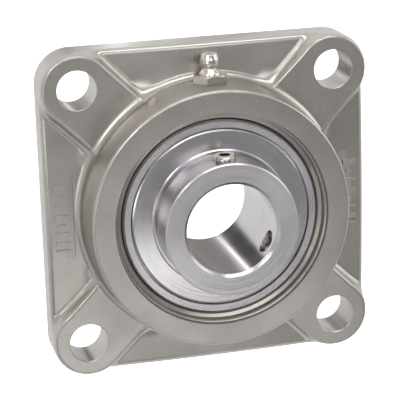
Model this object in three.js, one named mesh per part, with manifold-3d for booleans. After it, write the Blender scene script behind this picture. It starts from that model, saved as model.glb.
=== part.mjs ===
// Four-bolt square flange unit with a self-aligning ball bearing insert, 207 size, for a 1 1/4 inch shaft.
//
// Millimetres. The origin is the centre of the bore in the mounting face. +Z runs along the shaft
// towards the nose of the housing, and +Y points at the grease fitting.

import * as THREE from 'three';
import { mergeVertices } from 'three/addons/utils/BufferGeometryUtils.js';
import Module from 'manifold-3d';

const wasm = await Module();
wasm.setup();

const TURN = 2 * Math.PI;

// ---- Driving dimensions ----

// Housing: a square flange, raised arms to the four bolt pads, and a round boss.
const FLANGE_SIDE = 117;
const BOLT_SPACING = 92;
const BOLT_HOLE_RADIUS = 7;
const BOLT_HOLE_CHAMFER = 0.5;
const PAD_RADIUS = (FLANGE_SIDE - BOLT_SPACING) / 2;
const PAD_HEIGHT = 15;
const PAD_EDGE = 0.7;
const ARM_HALF_WIDTH = 12;
const FLOOR_HEIGHT = 11.8;
const FLOOR_EDGE = 1.3;
const FOOT_WIDTH = 2.2;
const FOOT_HEIGHT = 1.4;
const BOSS_RADIUS = 45.9;
const BOSS_BASE_RADIUS = 46.4;
const BOSS_HEIGHT = 32.4;
const BOSS_EDGE = 0.3;
const BACK_RECESS_RADIUS = 41;
const BACK_RECESS_DEPTH = 5;
const PANEL = { inner: 48.8, outer: 57, halfLength: 15, depth: 0.35 };

// The cone from the back recess to the seat, and the flared mouth from the seat to the nose face.
const BACK_CONE = [38.2, 7];
const MOUTH = [
  [35.5, 28.3],
  [36.8, 28.8],
  [37.15, 30.7],
  [37.7, 32],
  [38.1, BOSS_HEIGHT],
];

// Insert: its middle plane, its spherical outside and the seat that holds it.
const INSERT_HEIGHT = 19;
const SPHERE_RADIUS = 36;
const SEAT_RADIUS = 36.15;
const SEAT_FRONT = 8.6;
const SEAT_BACK = -8.6;
const OUTER_RING_HALF_WIDTH = 10;
const GREASE_PLANE = -5.8;
const SEAT_GROOVE = { inner: 34, outer: 37.2, halfWidth: 1.5 };
const DRILLING = { radius: 1.4, length: 9, tilt: -60, start: [0, 34.5, 11.6] };
const GREASE_HOLE_RADIUS = 0.9;

// The loading slots are the outer ring's width and radius with this much room.
const LOADING_ROOM = { radius: 0.2, halfWidth: 0.4, start: 1 };

// Rolling geometry: nine 7/16 inch balls.
const BALL_COUNT = 9;
const BALL_RADIUS = 11.112 / 2;
const PITCH_RADIUS = 26.75;
const RACEWAY_RADIUS = 5.83;
const RACEWAY_CLEARANCE = 0.12;
const OUTER_TRACK_HALF_WIDTH = 4.55;
const INNER_TRACK_HALF_WIDTH = 4.6;
const SHOULDER_RADIUS = 30.15;

// Inner ring with two set screws, 120 degrees apart.
const BORE_RADIUS = 31.75 / 2;
const INNER_RING_RADIUS = 23.4;
const INNER_RING_BACK = -17.5;
const INNER_RING_FRONT = 25.4;
const BORE_CHAMFER = 1.3;
const BACK_BORE_CHAMFER = 0.9;
const RING_EDGE = 0.5;
const SCREW_PLANE = 18.4;
const SCREW_RADIUS = 3.95;
const SCREW_LENGTH = 8;
const SCREW_OUTER_END = 24.8;
const SCREW_HOLE_RADIUS = 4.05;
const SCREW_ANGLES = [91, -29];
const SOCKET_ACROSS_FLATS = 4;
const SOCKET_DEPTH = 4;
const SCREW_CUP = { radius: 1.9, depth: 0.9, rim: 2.6 };
const SCREW_EDGE = 0.6;

// Cage: two pressed halves and one rivet in each gap between balls.
const CAGE_SHEET = 0.8;
const CAGE_SPLIT = 0.04;
const CAGE_INNER_RADIUS = 24.9;
const CAGE_OUTER_RADIUS = 28.8;
const POCKET_RADIUS = 5.85;
const RIVET_RADIUS = 0.75;
const RIVET_HEAD_RADIUS = 1.4;
const RIVET_HEAD_HEIGHT = 0.8;
const RIVET_ROOM = 0.06;

// Seals and slingers, given for the front and mirrored for the back.
const SEAL_BORE_RADIUS = 31.9;
const SEAL_GROOVE_RADIUS = 32.4;
const SEAL_INNER_FACE = 7.2;
const SEAL_OUTER_FACE = 8;
const SLINGER_RADIUS = 31.55;

// Grease fitting on the +Y side of the boss, level with the middle of the insert.
const FITTING_HEIGHT = INSERT_HEIGHT;
const FITTING_SEAT = 45.9;
const FITTING_TIP = 56.1;
const FITTING_SHANK_RADIUS = 4.9;
const FITTING_SHANK_END = 40.6;
const FITTING_HEX_ACROSS_FLATS = 11;
const FITTING_HEX_HEIGHT = 3;
const SPOT_FACE = { radius: 6.8, top: 50 };
const TAPPED_HOLE = { inner: 39.5, outer: 47, room: 0.1 };

// Half sections of the fitting: its neck and button head, and the passage inside it.
const FITTING_HEAD = [
  [2.4, 51],
  [2.45, 51.4],
  [3.25, 52.2],
  [3.5, 53.1],
  [3.4, 54.2],
  [2.75, FITTING_TIP],
];
const FITTING_PASSAGE = [
  [0.95, FITTING_TIP],
  [0.95, 55.2],
  [1.4, 54.75],
  [1.4, 47],
  [0.8, 46.4],
];
const PASSAGE_END_RADIUS = 0.8;
const SHANK_EDGE = 0.6;
const HEX_SHOULDER = { radius: 3.8, height: 0.5 };
const SPRING = { radius: 1, wire: 0.17, start: 48, turns: 4, gap: 0.25 };
const CHECK_BALL_RADIUS = 1.25;
const CHECK_BALL_CENTRE = 54.32;

// Anti-rotation pin on the -Y side: set in the outer ring, free to travel along a notch in the seat.
const PIN_RADIUS = 1.5;
const PIN_INNER_END = 34.3;
const PIN_OUTER_END = 37.3;
const PIN_EDGE = 0.3;
const PIN_ROOM = 0.06;
const NOTCH = { halfWidth: 1.7, radius: 37.8, back: 8, front: 23.2 };

// Facets round each kind of circle.
const LARGE = 48;
const MEDIUM = 36;
const SMALL = 18;
const TINY = 8;

// ---- Finishes ----

function finish(color, roughness, metalness) {
  return new THREE.MeshStandardMaterial({ color, roughness, metalness });
}

const CAST_STEEL = finish(0x9a948c, 0.45, 0.9);
const RING_STEEL = finish(0xb4b0b2, 0.22, 1);
const BALL_STEEL = finish(0xd0d0d4, 0.08, 1);
const PRESSED_STEEL = finish(0xa9a6aa, 0.3, 1);
const BRIGHT_STEEL = finish(0xc9c2b4, 0.15, 1);
const RUBBER = finish(0x26262a, 0.75, 0);

// ---- Solids ----

// Wraps a closed mesh as a solid, with its faces turned outwards.
function solid(geometry) {
  const bare = geometry.clone();
  bare.deleteAttribute('normal');
  bare.deleteAttribute('uv');
  const merged = mergeVertices(bare);
  const points = merged.getAttribute('position');
  const corner = (i) => new THREE.Vector3().fromBufferAttribute(points, i);
  const triangles = [];
  let volume = 0;
  for (let i = 0; i < merged.index.count; i += 3) {
    const [a, b, c] = [0, 1, 2].map((k) => merged.index.getX(i + k));
    if (a !== b && b !== c && c !== a) {
      triangles.push([a, b, c]);
      volume += corner(a).dot(corner(b).cross(corner(c)));
    }
  }
  const outward = volume > 0 ? triangles : triangles.map(([a, b, c]) => [a, c, b]);
  return new wasm.Manifold(new wasm.Mesh({
    numProp: 3,
    vertProperties: new Float32Array(points.array),
    triVerts: new Uint32Array(outward.flat()),
  }));
}

function node(name, shape, material) {
  const cut = shape.getMesh();
  const geometry = new THREE.BufferGeometry();
  geometry.setAttribute('position', new THREE.BufferAttribute(new Float32Array(cut.vertProperties), 3));
  geometry.setIndex(new THREE.BufferAttribute(new Uint32Array(cut.triVerts), 1));
  geometry.computeVertexNormals();
  const mesh = new THREE.Mesh(geometry, material);
  mesh.name = name;
  return mesh;
}

// Turns a list of [radius, height] corners round the Z axis. The list closes on itself.
function revolve(profile, facets) {
  const loop = [...profile, profile[0]].map(([r, z]) => new THREE.Vector2(r, z));
  return solid(new THREE.LatheGeometry(loop, facets).rotateX(Math.PI / 2));
}

// A cylinder, or with 6 facets a hexagonal prism, between two heights on the Z axis.
function drum(radius, bottom, top, facets) {
  const shape = new THREE.CylinderGeometry(radius, radius, top - bottom, facets);
  return solid(shape.rotateX(Math.PI / 2).translate(0, 0, (bottom + top) / 2));
}

function block(low, high) {
  const size = high.map((v, i) => v - low[i]);
  const centre = high.map((v, i) => (v + low[i]) / 2);
  return solid(new THREE.BoxGeometry(...size).translate(...centre));
}

function ball(radius, x, y, z, detail = 2) {
  return solid(new THREE.IcosahedronGeometry(radius, detail).translate(x, y, z));
}

function union(shapes) {
  return shapes.reduce((whole, shape) => whole.add(shape));
}

// Turns a solid that lies along Z so that it lies along +Y.
function alongY(shape) {
  return shape.rotate([-90, 0, 0]);
}

// Points on an arc about [centre, 0], from one height to another, bulging away from the axis or towards it.
function arc(centre, radius, from, to, steps, side) {
  return Array.from({ length: steps + 1 }, (_, i) => {
    const height = radius * Math.sin(THREE.MathUtils.lerp(
      Math.asin(from / radius), Math.asin(to / radius), i / steps));
    return [centre + side * Math.sqrt(radius ** 2 - height ** 2), height];
  });
}

function mirrored(profile) {
  return profile.map(([r, z]) => [r, -z]);
}

function raisedTo(profile, height) {
  return profile.map(([r, z]) => [r, z + height]);
}

// ---- Housing ----

// A solid that stands on the mounting face, with its top edge broken.
function raised(outline, top, edgeWidth, edgeHeight) {
  const shape = new THREE.ExtrudeGeometry(outline, {
    depth: top - edgeHeight,
    bevelThickness: edgeHeight,
    bevelSize: edgeWidth,
    bevelOffset: -edgeWidth,
    bevelSegments: 1,
    curveSegments: 8,
  });
  return solid(shape);
}

function roundedSquare(half, radius) {
  const centre = half - radius;
  const outline = new THREE.Shape();
  outline.absarc(centre, centre, radius, 0, TURN / 4);
  outline.absarc(-centre, centre, radius, TURN / 4, TURN / 2);
  outline.absarc(-centre, -centre, radius, TURN / 2, 3 * TURN / 4);
  outline.absarc(centre, -centre, radius, 3 * TURN / 4, TURN);
  return outline;
}

function bar(halfLength, halfWidth) {
  return new THREE.Shape([
    new THREE.Vector2(-halfLength, -halfWidth),
    new THREE.Vector2(halfLength, -halfWidth),
    new THREE.Vector2(halfLength, halfWidth),
    new THREE.Vector2(-halfLength, halfWidth),
  ]);
}

function disc(radius) {
  return new THREE.Shape().absarc(0, 0, radius, 0, TURN);
}

const BOLT_PLACES = [[1, 1], [-1, 1], [-1, -1], [1, -1]].map(([x, y]) => [
  x * BOLT_SPACING / 2,
  y * BOLT_SPACING / 2,
]);

function housingCasting() {
  const reach = BOLT_SPACING / Math.SQRT2;
  const arm = raised(bar(reach, ARM_HALF_WIDTH), PAD_HEIGHT, PAD_EDGE, PAD_EDGE);
  const foot = raised(bar(reach, ARM_HALF_WIDTH + FOOT_WIDTH), FLOOR_HEIGHT + FOOT_HEIGHT,
    FOOT_WIDTH, FOOT_HEIGHT);
  const pad = raised(disc(PAD_RADIUS), PAD_HEIGHT, PAD_EDGE, PAD_EDGE);
  const boss = revolve([
    [0, 0],
    [BOSS_BASE_RADIUS + FOOT_WIDTH, 0],
    [BOSS_BASE_RADIUS + FOOT_WIDTH, FLOOR_HEIGHT],
    [BOSS_BASE_RADIUS, FLOOR_HEIGHT + FOOT_WIDTH],
    [BOSS_RADIUS, BOSS_HEIGHT - BOSS_EDGE],
    [BOSS_RADIUS - BOSS_EDGE, BOSS_HEIGHT],
    [0, BOSS_HEIGHT],
  ], LARGE);
  return union([
    raised(roundedSquare(FLANGE_SIDE / 2, PAD_RADIUS), FLOOR_HEIGHT, FLOOR_EDGE, FLOOR_EDGE),
    arm.rotate([0, 0, 45]),
    arm.rotate([0, 0, -45]),
    foot.rotate([0, 0, 45]),
    foot.rotate([0, 0, -45]),
    ...BOLT_PLACES.map(([x, y]) => pad.translate([x, y, 0])),
    boss,
  ]);
}

// The spherical seat, its flared mouth, and the open recess behind it.
function seatCavity() {
  const seat = raisedTo(arc(0, SEAT_RADIUS, SEAT_BACK, SEAT_FRONT, 6, 1), INSERT_HEIGHT);
  return revolve([
    [0, -1],
    [BACK_RECESS_RADIUS, -1],
    [BACK_RECESS_RADIUS, BACK_RECESS_DEPTH],
    BACK_CONE,
    ...seat,
    ...MOUTH,
    [MOUTH.at(-1)[0], BOSS_HEIGHT + 1],
    [0, BOSS_HEIGHT + 1],
  ], LARGE);
}

// Two slots let the insert in from behind, on edge, before it is swung square in its seat.
function loadingSlots() {
  const sweep = drum(SEAT_RADIUS + LOADING_ROOM.radius, LOADING_ROOM.start, INSERT_HEIGHT, LARGE);
  const halfWidth = OUTER_RING_HALF_WIDTH + LOADING_ROOM.halfWidth;
  const slot = block([-BACK_RECESS_RADIUS, -halfWidth, 0], [BACK_RECESS_RADIUS, halfWidth, INSERT_HEIGHT]);
  return sweep.intersect(slot);
}

function boltHole() {
  const mouth = BOLT_HOLE_RADIUS + BOLT_HOLE_CHAMFER;
  return revolve([
    [0, -1],
    [BOLT_HOLE_RADIUS, -1],
    [BOLT_HOLE_RADIUS, PAD_HEIGHT - BOLT_HOLE_CHAMFER],
    [mouth, PAD_HEIGHT],
    [mouth, PAD_HEIGHT + 1],
    [0, PAD_HEIGHT + 1],
  ], SMALL);
}

// The fitting's tapped hole, its spot face, and the slanted drilling down to the groove in the seat.
function greasePassages() {
  const up = [0, 0, FITTING_HEIGHT];
  const tappedRadius = FITTING_SHANK_RADIUS + TAPPED_HOLE.room;
  const tapped = alongY(drum(tappedRadius, TAPPED_HOLE.inner, TAPPED_HOLE.outer, SMALL)).translate(up);
  const spotFace = alongY(drum(SPOT_FACE.radius, FITTING_SEAT, SPOT_FACE.top, SMALL)).translate(up);
  const drill = drum(DRILLING.radius, 0, DRILLING.length, TINY);
  const drilling = drill.rotate([DRILLING.tilt, 0, 0]).translate(DRILLING.start);
  const low = INSERT_HEIGHT + GREASE_PLANE - SEAT_GROOVE.halfWidth;
  const high = low + 2 * SEAT_GROOVE.halfWidth;
  const seatGroove = revolve([
    [SEAT_GROOVE.inner, low],
    [SEAT_GROOVE.outer, low],
    [SEAT_GROOVE.outer, high],
    [SEAT_GROOVE.inner, high],
  ], LARGE);
  return [tapped, spotFace, drilling, seatGroove];
}

function namePanels() {
  const floor = FLOOR_HEIGHT - PANEL.depth;
  return [
    block([PANEL.inner, -PANEL.halfLength, floor], [PANEL.outer, PANEL.halfLength, PAD_HEIGHT]),
    block([-PANEL.outer, -PANEL.halfLength, floor], [-PANEL.inner, PANEL.halfLength, PAD_HEIGHT]),
  ];
}

function housing() {
  const hole = boltHole();
  const cuts = [
    block([-FLANGE_SIDE, -FLANGE_SIDE, -PAD_HEIGHT], [FLANGE_SIDE, FLANGE_SIDE, 0]),
    seatCavity(),
    loadingSlots(),
    block([-NOTCH.halfWidth, -NOTCH.radius, NOTCH.back], [NOTCH.halfWidth, -SEAT_GROOVE.inner, NOTCH.front]),
    ...BOLT_PLACES.map(([x, y]) => hole.translate([x, y, 0])),
    ...greasePassages(),
    ...namePanels(),
  ];
  return node('housing', cuts.reduce((left, cut) => left.subtract(cut), housingCasting()), CAST_STEEL);
}

// ---- Insert ----

// The insert's own pieces are built about their middle plane and lifted to it.
const insert = new THREE.Group();
insert.position.z = INSERT_HEIGHT;

function outerRing() {
  const half = OUTER_RING_HALF_WIDTH;
  const trackCentre = PITCH_RADIUS + BALL_RADIUS + RACEWAY_CLEARANCE - RACEWAY_RADIUS;
  const shoulder = OUTER_TRACK_HALF_WIDTH;
  const front = [
    [SHOULDER_RADIUS, SEAL_INNER_FACE - 0.1],
    [SEAL_GROOVE_RADIUS, SEAL_INNER_FACE - 0.1],
    [SEAL_GROOVE_RADIUS, SEAL_OUTER_FACE + 0.1],
    [SEAL_BORE_RADIUS, SEAL_OUTER_FACE + 0.3],
    [SEAL_BORE_RADIUS, half - 0.2],
    [SEAL_BORE_RADIUS + 0.2, half],
  ];
  const blank = revolve([
    ...arc(trackCentre, RACEWAY_RADIUS, -shoulder, shoulder, 6, 1),
    ...front,
    ...arc(0, SPHERE_RADIUS, half, -half, 8, 1),
    ...mirrored(front).reverse(),
  ], LARGE);
  const outside = SPHERE_RADIUS + 1;
  const greaseDrill = drum(GREASE_HOLE_RADIUS, SHOULDER_RADIUS - 1, outside, TINY);
  const greaseHole = alongY(greaseDrill).translate([0, 0, GREASE_PLANE]);
  const pinDrill = drum(PIN_RADIUS + PIN_ROOM, PIN_INNER_END - 0.1, outside, SMALL);
  const pinHole = alongY(pinDrill).rotate([0, 0, 180]);
  return node('outer_ring', blank.subtract(greaseHole).subtract(pinHole), RING_STEEL);
}

function antiRotationPin() {
  const edge = PIN_EDGE;
  const pin = revolve([
    [0, PIN_INNER_END],
    [PIN_RADIUS, PIN_INNER_END],
    [PIN_RADIUS, PIN_OUTER_END - edge],
    [PIN_RADIUS - edge, PIN_OUTER_END],
    [0, PIN_OUTER_END],
  ], SMALL);
  return node('anti_rotation_pin', alongY(pin).rotate([0, 0, 180]), BRIGHT_STEEL);
}

// Lays a solid made along +Z on a spoke at the screws' plane, pointing outwards.
function onSpoke(shape, degrees) {
  return alongY(shape).rotate([0, 0, degrees - 90]).translate([0, 0, SCREW_PLANE]);
}

function innerRing() {
  const trackCentre = PITCH_RADIUS - BALL_RADIUS - RACEWAY_CLEARANCE + RACEWAY_RADIUS;
  const edge = RING_EDGE;
  const blank = revolve([
    [BORE_RADIUS, INNER_RING_BACK + BACK_BORE_CHAMFER],
    [BORE_RADIUS + BACK_BORE_CHAMFER, INNER_RING_BACK],
    [INNER_RING_RADIUS - edge, INNER_RING_BACK],
    [INNER_RING_RADIUS, INNER_RING_BACK + edge],
    ...arc(trackCentre, RACEWAY_RADIUS, -INNER_TRACK_HALF_WIDTH, INNER_TRACK_HALF_WIDTH, 6, -1),
    [INNER_RING_RADIUS, INNER_RING_FRONT - edge],
    [INNER_RING_RADIUS - edge, INNER_RING_FRONT],
    [BORE_RADIUS + BORE_CHAMFER, INNER_RING_FRONT],
    [BORE_RADIUS, INNER_RING_FRONT - BORE_CHAMFER],
  ], MEDIUM);
  const hole = drum(SCREW_HOLE_RADIUS, BORE_RADIUS - 2, SCREW_OUTER_END, SMALL);
  const drilled = SCREW_ANGLES.reduce((ring, degrees) => ring.subtract(onSpoke(hole, degrees)), blank);
  return node('inner_ring', drilled, RING_STEEL);
}

// A cup-point set screw with a hexagonal socket in its outer end.
function setScrews() {
  const inner = SCREW_OUTER_END - SCREW_LENGTH;
  const blank = revolve([
    [0, inner + SCREW_CUP.depth],
    [SCREW_CUP.radius, inner],
    [SCREW_CUP.rim, inner],
    [SCREW_RADIUS, inner + SCREW_RADIUS - SCREW_CUP.rim],
    [SCREW_RADIUS, SCREW_OUTER_END - SCREW_EDGE],
    [SCREW_RADIUS - SCREW_EDGE, SCREW_OUTER_END],
    [0, SCREW_OUTER_END],
  ], SMALL);
  const socket = drum(SOCKET_ACROSS_FLATS / Math.sqrt(3), SCREW_OUTER_END - SOCKET_DEPTH,
    SCREW_OUTER_END + 1, 6);
  const screw = blank.subtract(socket);
  return SCREW_ANGLES.map((degrees, i) => node(`set_screw_${i + 1}`, onSpoke(screw, degrees), BRIGHT_STEEL));
}

function balls() {
  return Array.from({ length: BALL_COUNT }, (_, i) => {
    const angle = TURN * i / BALL_COUNT;
    const mesh = node(`ball_${i + 1}`, ball(BALL_RADIUS, 0, 0, 0), BALL_STEEL);
    mesh.position.set(PITCH_RADIUS * Math.cos(angle), PITCH_RADIUS * Math.sin(angle), 0);
    return mesh;
  });
}

// ---- Cage ----

// One pressed half: a flat ribbon with a domed pocket over each ball, drilled for the rivets.
function cageHalf() {
  const band = (top) => revolve([
    [CAGE_INNER_RADIUS, CAGE_SPLIT],
    [CAGE_OUTER_RADIUS, CAGE_SPLIT],
    [CAGE_OUTER_RADIUS, top],
    [CAGE_INNER_RADIUS, top],
  ], SMALL);
  const places = Array.from({ length: BALL_COUNT }, (_, i) => 360 * i / BALL_COUNT);
  const dome = ball(POCKET_RADIUS + CAGE_SHEET, PITCH_RADIUS, 0, 0, 1);
  const pocket = ball(POCKET_RADIUS, PITCH_RADIUS, 0, 0);
  const drill = drum(RIVET_RADIUS + RIVET_ROOM, -CAGE_SHEET, 2 * CAGE_SHEET, TINY);
  const rivetHole = drill.translate([PITCH_RADIUS, 0, 0]);
  const domes = union(places.map((degrees) => dome.rotate([0, 0, degrees])));
  const cuts = places.flatMap((degrees) => [
    pocket.rotate([0, 0, degrees]),
    rivetHole.rotate([0, 0, degrees + 180 / BALL_COUNT]),
  ]);
  const pressed = band(CAGE_SHEET).add(domes.intersect(band(POCKET_RADIUS + CAGE_SHEET)));
  return cuts.reduce((left, cut) => left.subtract(cut), pressed);
}

function cage() {
  const half = cageHalf();
  return [
    node('cage_front', half, PRESSED_STEEL),
    node('cage_back', half.mirror([0, 0, 1]), PRESSED_STEEL),
  ];
}

function cageRivets() {
  const under = CAGE_SHEET + 0.02;
  const head = [
    [RIVET_RADIUS, under],
    [RIVET_HEAD_RADIUS, under],
    [RIVET_HEAD_RADIUS * 0.75, under + RIVET_HEAD_HEIGHT * 0.8],
    [0, under + RIVET_HEAD_HEIGHT],
  ];
  const rivet = revolve([...mirrored(head).reverse(), ...head], TINY);
  return Array.from({ length: BALL_COUNT }, (_, i) => {
    const angle = TURN * (i + 0.5) / BALL_COUNT;
    const mesh = node(`cage_rivet_${i + 1}`, rivet, PRESSED_STEEL);
    mesh.position.set(PITCH_RADIUS * Math.cos(angle), PITCH_RADIUS * Math.sin(angle), 0);
    return mesh;
  });
}

// ---- Seals and slingers ----

// The pressed steel washer that snaps into the outer ring's groove.
const SEAL_CORE = [
  [SEAL_GROOVE_RADIUS - 0.1, SEAL_INNER_FACE],
  [SEAL_GROOVE_RADIUS - 0.1, SEAL_OUTER_FACE],
  [25.7, SEAL_OUTER_FACE],
  [25.7, SEAL_INNER_FACE],
];

// The rubber bonded to the washer's inner edge, with one lip for the shoulder of the inner ring.
const SEAL_LIP = [
  [25.65, SEAL_INNER_FACE],
  [25.65, SEAL_OUTER_FACE],
  [24.7, SEAL_OUTER_FACE + 0.2],
  [23.5, SEAL_OUTER_FACE + 0.6],
  [24.1, SEAL_OUTER_FACE - 0.1],
  [23.5, SEAL_INNER_FACE - 0.1],
  [24.7, SEAL_INNER_FACE],
];

// The dished disc that turns with the inner ring, with a turned-out collar pressed on it.
const SLINGER = [
  [23.43, 8.95],
  [24.6, 9.45],
  [30.9, 8.95],
  [SLINGER_RADIUS, 9.2],
  [SLINGER_RADIUS, 9.6],
  [30.9, 9.85],
  [24.6, 10.3],
  [24.2, 10.7],
  [23.43, 10.7],
];

function frontAndBack(name, profile, material) {
  return [
    node(`front_${name}`, revolve(profile, MEDIUM), material),
    node(`back_${name}`, revolve(mirrored(profile), MEDIUM), material),
  ];
}

// ---- Grease fitting ----

const fitting = new THREE.Group();
fitting.position.z = FITTING_HEIGHT;

// A hexagon with a tapered neck and a button head, bored through for the check ball and its spring.
function fittingBody() {
  const hexTop = FITTING_SEAT + FITTING_HEX_HEIGHT;
  const turned = revolve([
    [PASSAGE_END_RADIUS, FITTING_SHANK_END],
    [FITTING_SHANK_RADIUS - SHANK_EDGE, FITTING_SHANK_END],
    [FITTING_SHANK_RADIUS, FITTING_SHANK_END + SHANK_EDGE],
    [FITTING_SHANK_RADIUS, hexTop - HEX_SHOULDER.height],
    [HEX_SHOULDER.radius, hexTop],
    ...FITTING_HEAD,
    ...FITTING_PASSAGE,
  ], SMALL);
  const hexRadius = FITTING_HEX_ACROSS_FLATS / Math.sqrt(3);
  const hexagon = drum(hexRadius, FITTING_SEAT + 0.03, hexTop, 6);
  const ring = hexagon.subtract(drum(FITTING_SHANK_RADIUS - 1, FITTING_SEAT - 1, hexTop + 1, SMALL));
  return node('grease_fitting_body', alongY(turned.add(ring)), BRIGHT_STEEL);
}

function checkBall() {
  return node('grease_fitting_ball', ball(CHECK_BALL_RADIUS, 0, CHECK_BALL_CENTRE, 0), BALL_STEEL);
}

class Coil extends THREE.Curve {
  constructor(radius, start, end, turns) {
    super();
    Object.assign(this, { radius, start, end, turns });
  }

  getPoint(t, target = new THREE.Vector3()) {
    const angle = TURN * this.turns * t;
    return target.set(
      this.radius * Math.cos(angle),
      THREE.MathUtils.lerp(this.start, this.end, t),
      this.radius * Math.sin(angle),
    );
  }
}

function checkSpring() {
  const top = CHECK_BALL_CENTRE - CHECK_BALL_RADIUS - SPRING.gap;
  const wire = new THREE.Shape().absarc(0, 0, SPRING.wire, 0, TURN);
  const coil = new THREE.ExtrudeGeometry(wire, {
    extrudePath: new Coil(SPRING.radius, SPRING.start, top, SPRING.turns),
    steps: 32,
    curveSegments: 3,
  });
  return node('grease_fitting_spring', solid(coil), BRIGHT_STEEL);
}

// ---- Assembly ----

insert.add(
  outerRing(),
  antiRotationPin(),
  innerRing(),
  ...setScrews(),
  ...balls(),
  ...cage(),
  ...cageRivets(),
  ...frontAndBack('seal_core', SEAL_CORE, PRESSED_STEEL),
  ...frontAndBack('seal_lip', SEAL_LIP, RUBBER),
  ...frontAndBack('slinger', SLINGER, PRESSED_STEEL),
);
fitting.add(fittingBody(), checkBall(), checkSpring());

const unit = new THREE.Group();
unit.add(housing(), insert, fitting);

export default unit;
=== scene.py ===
# %% [markdown]
# # A four-bolt flange bearing unit
# The object is a square stainless casting that holds a ball bearing insert in a spherical seat.
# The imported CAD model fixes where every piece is. Each CAD piece gets a finer piece of the same
# size here, with its rounded edges, tool marks and metal finish, and rides on the same body.

import math

import bmesh
import bpy
from mathutils import Matrix, Vector


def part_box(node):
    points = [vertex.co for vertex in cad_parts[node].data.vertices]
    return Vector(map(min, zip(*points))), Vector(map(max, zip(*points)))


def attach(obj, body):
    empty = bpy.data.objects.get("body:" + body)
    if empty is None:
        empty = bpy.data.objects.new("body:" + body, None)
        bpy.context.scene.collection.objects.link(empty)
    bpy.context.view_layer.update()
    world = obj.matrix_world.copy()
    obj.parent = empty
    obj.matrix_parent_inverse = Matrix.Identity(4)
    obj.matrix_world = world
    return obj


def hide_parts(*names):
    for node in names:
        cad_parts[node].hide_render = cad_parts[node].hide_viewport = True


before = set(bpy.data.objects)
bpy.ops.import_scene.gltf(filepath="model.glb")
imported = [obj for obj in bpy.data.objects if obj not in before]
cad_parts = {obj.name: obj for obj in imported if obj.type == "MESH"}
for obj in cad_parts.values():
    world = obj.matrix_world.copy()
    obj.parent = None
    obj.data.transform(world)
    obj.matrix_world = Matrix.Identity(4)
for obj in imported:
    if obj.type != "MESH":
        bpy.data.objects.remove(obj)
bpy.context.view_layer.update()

# %% [markdown]
# The scripts that make mechanical parts are easiest to read in millimetres, but the frame is in
# metres. So each mesh is built in millimetres and scaled once, when it becomes an object.
# The joint and insert heights come from the frame, so nothing here can drift from the CAD.

# %% Shared measures, in millimetres
MM = 0.001
TURN = 2 * math.pi


def box_mm(node):
    low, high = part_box(node)
    return low / MM, high / MM


housing_high = box_mm("housing")[1]
PLATE = housing_high.x
NOSE = housing_high.z
ring_low, ring_high = box_mm("outer_ring")
MIDDLE = (ring_low.z + ring_high.z) / 2
SPHERE = ring_high.x
print(f"plate half side {PLATE:.2f}, nose {NOSE:.2f}, insert middle {MIDDLE:.2f}")

# %% [markdown]
# ## Camera, floor and light
# The camera looks down at the nose from a little to the left and from the fitting's side.
# A long lens keeps the square flange nearly square. Seven large soft lights give the metal
# something broad to reflect, the strongest from the fitting's side, where it draws the edges.
# The sky is white where the camera sees it, and a little brighter near the horizon in reflections.

# %% Camera
CAMERA_PLACE = (-0.1470, 0.1799, 0.5903)
CAMERA_LOOKS = (0.2313, -0.2862, -0.9298)
CAMERA_UP = (0.0989, 0.9577, -0.2701)

camera_data = bpy.data.cameras.new("camera")
camera_data.lens = 157.5
camera_data.sensor_width = 36
camera = bpy.data.objects.new("camera", camera_data)
bpy.context.scene.collection.objects.link(camera)
back = -Vector(CAMERA_LOOKS).normalized()
right = Vector(CAMERA_UP).cross(back).normalized()
up = back.cross(right)
turn = Matrix((right, up, back)).transposed().to_4x4()
camera.matrix_world = Matrix.Translation(CAMERA_PLACE) @ turn
bpy.context.scene.camera = camera
bpy.context.scene.view_settings.view_transform = "Standard"
print("camera at", [round(v, 3) for v in camera.matrix_world.translation])

# %% Lights
LIGHTS_AIM = (0, 0, 0.01)


def math_node(tree, operation, *values):
    step = tree.nodes.new("ShaderNodeMath")
    step.operation = operation
    for socket, value in zip(step.inputs, values):
        if isinstance(value, (int, float)):
            socket.default_value = value
        else:
            tree.links.new(value, socket)
    return step.outputs[0]


def area_light(name, place, size, power):
    data = bpy.data.lights.new(name, "AREA")
    data.shape = "RECTANGLE"
    data.size, data.size_y = size
    data.energy = power
    lamp = bpy.data.objects.new(name, data)
    bpy.context.scene.collection.objects.link(lamp)
    facing = (Vector(LIGHTS_AIM) - Vector(place)).to_track_quat("-Z", "Y")
    lamp.matrix_world = Matrix.Translation(place) @ facing.to_matrix().to_4x4()


area_light("key", (0.10, 0.42, 1.10), (0.7, 0.30), 1.8)
area_light("edge", (0.10, 1.0, 0.50), (0.9, 0.26), 3.3)
area_light("corner", (-0.60, 0.58, 0.75), (0.36, 0.30), 2.7)
area_light("rim", (0.95, 0.38, 0.38), (0.6, 0.7), 1.8)
area_light("panel", (0.02, -0.50, 1.10), (0.8, 0.20), 0.78)
area_light("low", (0.25, -1.0, 0.42), (1.2, 0.12), 0.9)
area_light("side", (-0.75, -0.08, 0.95), (0.3, 0.6), 1.2)
print("lights:", len(bpy.data.lights))

# %% Sky
SKY_LOW, SKY_HIGH = 0.30, 0.62
HORIZON_LIGHT, OVERHEAD_LIGHT = 0.80, 0.32

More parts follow.
